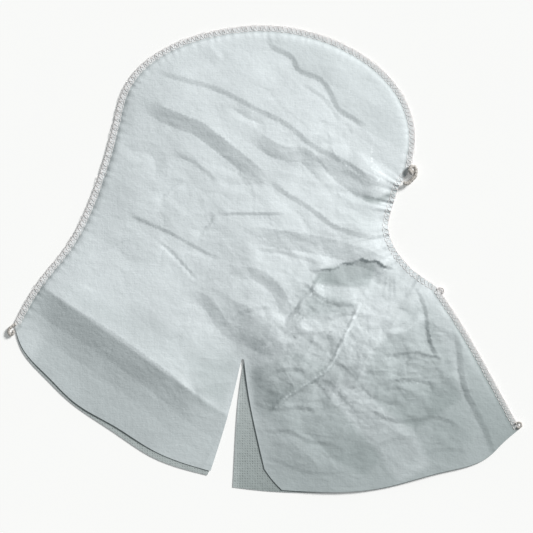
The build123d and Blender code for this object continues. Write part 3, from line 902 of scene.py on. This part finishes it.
# ---- overlock stitches ----
def tubes(paths, radius, sides=6):
    """Points and faces of round tubes along open paths of millimetre points."""
    points, faces = [], []
    for path in paths:
        path = np.asarray(path, float)
        tangent = np.gradient(path, axis=0)
        tangent /= np.linalg.norm(tangent, axis=1)[:, None]
        across = np.cross(tangent, (0.0, 0.0, 1.0))
        across[np.linalg.norm(across, axis=1) < 1e-6] = (1, 0, 0)
        across /= np.linalg.norm(across, axis=1)[:, None]
        up = np.cross(across, tangent)
        base = len(points)
        for i, place in enumerate(path):
            share = 0.6 if i in (0, len(path) - 1) else 1.0
            for k in range(sides):
                angle = 2 * math.pi * k / sides
                out = across[i] * math.cos(angle) + up[i] * math.sin(angle)
                points.append(place + radius * share * out)
        for i in range(len(path) - 1):
            for k in range(sides):
                a, b = base + i * sides + k, base + i * sides + (k + 1) % sides
                faces.append((a, b, b + sides, a + sides))
        faces.append(tuple(base + k for k in reversed(range(sides))))
        faces.append(tuple(base + (len(path) - 1) * sides + k for k in range(sides)))
    return np.array(points), faces


def beside(line, places, insets):
    """Points at distances along a line and distances to its left."""
    step = np.hypot(*np.diff(line, axis=0).T)
    length = np.concatenate([[0], np.cumsum(step)])
    places = np.clip(places, 0, length[-1])
    x, y = (np.interp(places, length, line[:, k]) for k in (0, 1))
    i = np.clip(np.searchsorted(length, places) - 1, 0, len(step) - 1)
    d = (line[i + 1] - line[i]) / step[i][:, None]
    return np.column_stack([x - d[:, 1] * insets, y + d[:, 0] * insets])


# One stitch of each thread: distance along the seam in stitches, inset from the cut edge
# as a share of the allowance, and lift over the fabric in millimetres.
NEEDLE = [(0.06, 0.97, -0.15), (0.25, 0.97, 0.14), (0.5, 0.98, 0.22), (0.75, 0.97, 0.14), (0.94, 0.97, -0.15)]
UPPER = [(0.0, 0.95, 0.08), (0.28, 0.6, 0.2), (0.46, 0.14, 0.22), (0.5, -0.06, 0.0), (0.56, 0.14, 0.22),
         (0.76, 0.55, 0.2), (1.0, 0.95, 0.08)]
LOWER = [(0.38, -0.10, 0.12), (0.5, -0.13, -0.1), (0.64, -0.10, -0.35), (0.88, -0.09, -0.15),
         (1.38, -0.09, 0.10)]
LOOSENESS = 0.05        # spread of the inset from stitch to stitch, as a share of the allowance


def stitched(line, start, end, height_of, pattern):
    """Paths of one thread of a seam, one path for each stitch."""
    rng = np.random.default_rng(int(abs(start) * 10) + len(line) + len(pattern))
    begins = np.arange(start, end - 0.4 * PITCH, PITCH)
    along, inset, lift = np.array(pattern).T
    places = begins[:, None] + along * PITCH
    insets = FLANGE * (inset + rng.normal(0, LOOSENESS, (len(begins), 1)))
    plan = beside(line, places.ravel(), insets.ravel())
    z = height_of(plan).reshape(places.shape) + lift
    return np.dstack([plan[:, 0].reshape(places.shape), plan[:, 1].reshape(places.shape), z])


def total_length(line):
    """Length of a line of points."""
    return float(np.hypot(*np.diff(line, axis=0).T).sum())


def thread_piece(name, node, body, points, faces, material):
    """Piece of sewing thread that stands for a CAD node and stays above the floor."""
    points[:, 2] = np.maximum(points[:, 2], FLOOR_CLEAR)
    piece = make_object(name, points, faces, [material])
    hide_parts(node)
    bend_with(piece, body)


def make_threads(name, node, body, line, start, end, height_of, patterns, radius):
    """One piece for the stitches of one or more threads of a seam."""
    paths = [path for pattern in patterns for path in stitched(line, start, end, height_of, pattern)]
    thread_piece(name, node, body, *tubes(paths, radius), THREAD)


def make_seam(prefix, body, line, start, end):
    """The three threads of an overlocked seam that joins the two panels."""
    for kind, pattern, radius in (
        ("needle_thread", NEEDLE, 0.26),
        ("upper_looper_thread", UPPER, 0.19),
        ("lower_looper_thread", LOWER, 0.24),
    ):
        node = f"{prefix}_{kind}"
        make_threads(f"{node}_stitches", node, body, line, start, end, right_height, [pattern], radius)


CROWN_LENGTH, THROAT_LENGTH, FACE_LENGTH = (total_length(e) for e in (CROWN_SEAM, THROAT_SEAM, FACE_EDGE))
FOLD_PLACE = float(nearest_on(np.array([BACK_FOLD[0]]), CROWN_SEAM)[2][0])
make_seam("crown_seam", "back_flap", CROWN_SEAM, 2.0, FOLD_PLACE)
make_seam("back_seam", "back_flap", CROWN_SEAM, FOLD_PLACE, CROWN_LENGTH - 1.0)
make_seam("throat_seam", "front_flap", THROAT_SEAM, 1.5, THROAT_LENGTH - 1.0)
for SIDE, HEIGHT in (("right", right_height), ("left", left_height)):
    for NAME, NODE, PATTERNS, RADIUS in (
        ("needle_stitches", "needle_thread", [NEEDLE], 0.24),
        ("looper_stitches", "looper_threads", [UPPER, LOWER], 0.2),
    ):
        make_threads(f"{SIDE}_face_edge_{NAME}", f"{SIDE}_face_edge_{NODE}", "front_flap",
                     FACE_EDGE, 2.0, FACE_LENGTH - 2.0, HEIGHT, PATTERNS, RADIUS)


# ---- elastic in the face edges ----
ELASTIC_WIDTH = 2.6
ELASTIC_INSET = 2.6     # from the cut edge to the middle of the band
ELASTIC_DEPTH = 0.7
ELASTIC_END = 8.0       # the band stops this far short of the sewn ends
RIB_PITCH = 1.35
RIB_HEIGHT = 0.12       # also how far the band's middle stands over its edges


def make_elastic(side, height_of, lift):
    """Narrow knitted elastic under the stitches of one face edge, drawn up into ribs."""
    places = np.arange(ELASTIC_END, FACE_LENGTH - ELASTIC_END, 0.45)
    ribs = RIB_HEIGHT * np.sin(places * 2 * math.pi / RIB_PITCH)
    rows = []
    for offset in np.linspace(-0.5, 0.5, 5) * ELASTIC_WIDTH:
        plan = beside(FACE_EDGE, places, ELASTIC_INSET + offset)
        crown = RIB_HEIGHT * (1 - (offset / (ELASTIC_WIDTH / 2)) ** 2)
        rows.append(np.column_stack([plan, height_of(plan) + lift + crown + ribs]))
    top = np.stack(rows, axis=1)
    n, m = top.shape[:2]
    bottom = top.copy()
    bottom[:, :, 2] -= ELASTIC_DEPTH
    points = np.vstack([top.reshape(-1, 3), bottom.reshape(-1, 3)])
    points[:, 2] = np.maximum(points[:, 2], FLOOR_CLEAR)
    faces = []
    for i in range(n - 1):
        for j in range(m - 1):
            a, b, c, d = i * m + j, (i + 1) * m + j, (i + 1) * m + j + 1, i * m + j + 1
            faces += [(a, d, c, b), (a + n * m, b + n * m, c + n * m, d + n * m)]
        for j in (0, m - 1):
            a, b = i * m + j, (i + 1) * m + j
            quad = (a, b, b + n * m, a + n * m)
            faces.append(quad if j == 0 else quad[::-1])
    for i in (0, n - 1):
        for j in range(m - 1):
            a, b = i * m + j, i * m + j + 1
            quad = (b, a, a + n * m, b + n * m)
            faces.append(quad if i == 0 else quad[::-1])
    piece = make_object(f"{side}_face_elastic_band", points, faces, [ELASTIC])
    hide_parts(f"{side}_face_elastic")
    bend_with(piece, "front_flap")


make_elastic("right", right_height, -1.0)
make_elastic("left", left_height, 0.85)


# ---- thread tails at the seam ends ----
def chain(path, radius, strand, turns):
    """Three looper strands twisted about a smooth path of millimetre points."""
    path = np.array(path, float)
    knots = np.concatenate([[0], np.cumsum(np.linalg.norm(np.diff(path, axis=0), axis=1))])
    fine = np.linspace(0, knots[-1], int(knots[-1] / 0.35) + 2)
    centre = np.column_stack([np.interp(fine, knots, path[:, k]) for k in range(3)])
    for _ in range(6):
        centre[1:-1] = (centre[:-2] + 2 * centre[1:-1] + centre[2:]) / 4
    tangent = np.gradient(centre, axis=0)
    tangent /= np.linalg.norm(tangent, axis=1)[:, None]
    side = np.cross(tangent, (0.0, 0.0, 1.0))
    side /= np.maximum(np.linalg.norm(side, axis=1), 1e-6)[:, None]
    up = np.cross(side, tangent)
    strands = []
    for k in range(3):
        angle = turns * 2 * math.pi * fine / knots[-1] + k * 2 * math.pi / 3
        wave = 1 + 0.25 * np.sin(fine * 2.1 + k)
        strands.append(centre + (radius * wave * np.cos(angle))[:, None] * side
                       + (radius * wave * np.sin(angle))[:, None] * up)
    return tubes(strands, strand, sides=8)


def make_tail(name, body, path, radius, strand, turns, material):
    """Chained thread tail that stands for the CAD tail of the same name."""
    points, faces = chain(path, radius, strand, turns)
    thread_piece(f"{name}_chain_tail", f"{name}_seam_tail", body, points, faces, material)


make_tail("forehead", "hood", [
    (139, 75.5, 4.5), (143, 75.5, 4.2), (147, 78.5, 3.8), (150.4, 83, 3.6), (151.6, 88, 3.6),
    (149.6, 92.4, 3.7), (146.2, 92.6, 4.6), (144.6, 89, 5.2), (146.6, 85.6, 5.2), (148.6, 87.6, 4.6),
], 1.05, 1.0, 9, TAIL_THREAD)
make_tail("back_corner", "back_flap", [
    (-248.5, -65, 1.4), (-251.5, -66.5, 1.6), (-255.2, -69.6, 1.8), (-256.2, -73.6, 1.8),
    (-253.8, -76.2, 2.0), (-250.8, -74.6, 2.4), (-251.4, -71.4, 2.6),
], 0.75, 0.72, 8, TAIL_THREAD)
make_tail("front_corner", "front_flap", [
    (251.0, -165.0, 1.6), (253.4, -163.2, 2.0), (256.0, -163.6, 2.4), (256.8, -166.8, 2.4),
    (254.6, -169.0, 2.2), (252.4, -168.0, 2.0),
], 0.6, 0.55, 7, TAIL_THREAD)
make_tail("throat", "front_flap", [
    (172.5, -30.5, 1.6), (175.6, -28.2, 1.8), (178.4, -29.2, 1.6), (179.6, -32.6, 1.4), (177.6, -34.4, 1.2),
], 0.5, 0.5, 6, THREAD)


# ---- camera, light and floor, m ----
FLOOR_HALF = 2.5
FLOOR_BELOW = 0.0003            # keeps the floor clear of the fabric's lower face
SUN_ENERGY = 4.1
SUN_ANGLE = 16                  # degrees, for soft shadow edges
SUN_COLOUR = (1.0, 0.985, 0.965)
TOWARD_SUN = (0.67, 0.52, 0.49)     # from the upper right
SKY_COLOUR = (0.93, 1.0, 1.0, 1)
SKY_STRENGTH = 0.24
CAMERA_PLACE = (0.002, -0.0075, 2.6)
VIEW_WIDTH = 0.533              # of the floor, across the picture
SENSOR_WIDTH = 36


def add_to_scene(name, data):
    """Object linked to the scene."""
    obj = bpy.data.objects.new(name, data)
    bpy.context.scene.collection.objects.link(obj)
    return obj


def make_floor():
    """Square of white paper under the hood."""
    half = FLOOR_HALF
    mesh = bpy.data.meshes.new("floor")
    corners = [(-half, -half, 0), (half, -half, 0), (half, half, 0), (-half, half, 0)]
    mesh.from_pydata(corners, [], [(0, 1, 2, 3)])
    mesh.materials.append(floor_material())
    floor = add_to_scene("floor", mesh)
    floor.location.z = -FLOOR_BELOW


def make_light():
    """A broad sun and a faint cool sky."""
    sun = bpy.data.lights.new("key_light", "SUN")
    sun.energy = SUN_ENERGY
    sun.angle = math.radians(SUN_ANGLE)
    sun.color = SUN_COLOUR
    turn = Vector(TOWARD_SUN).to_track_quat("Z", "Y")
    add_to_scene("key_light", sun).rotation_euler = turn.to_euler()
    world = bpy.data.worlds.new("studio")
    bpy.context.scene.world = world
    world.use_nodes = True
    sky = world.node_tree.nodes["Background"]
    sky.inputs["Color"].default_value = SKY_COLOUR
    sky.inputs["Strength"].default_value = SKY_STRENGTH


def make_camera():
    """Camera that looks straight down, with the photo's width of view."""
    data = bpy.data.cameras.new("camera")
    data.sensor_width = SENSOR_WIDTH
    data.lens = SENSOR_WIDTH * CAMERA_PLACE[2] / VIEW_WIDTH
    camera = add_to_scene("camera", data)
    camera.location = CAMERA_PLACE
    bpy.context.scene.camera = camera
    bpy.context.scene.view_settings.view_transform = "Standard"


make_floor()
make_light()
make_camera()
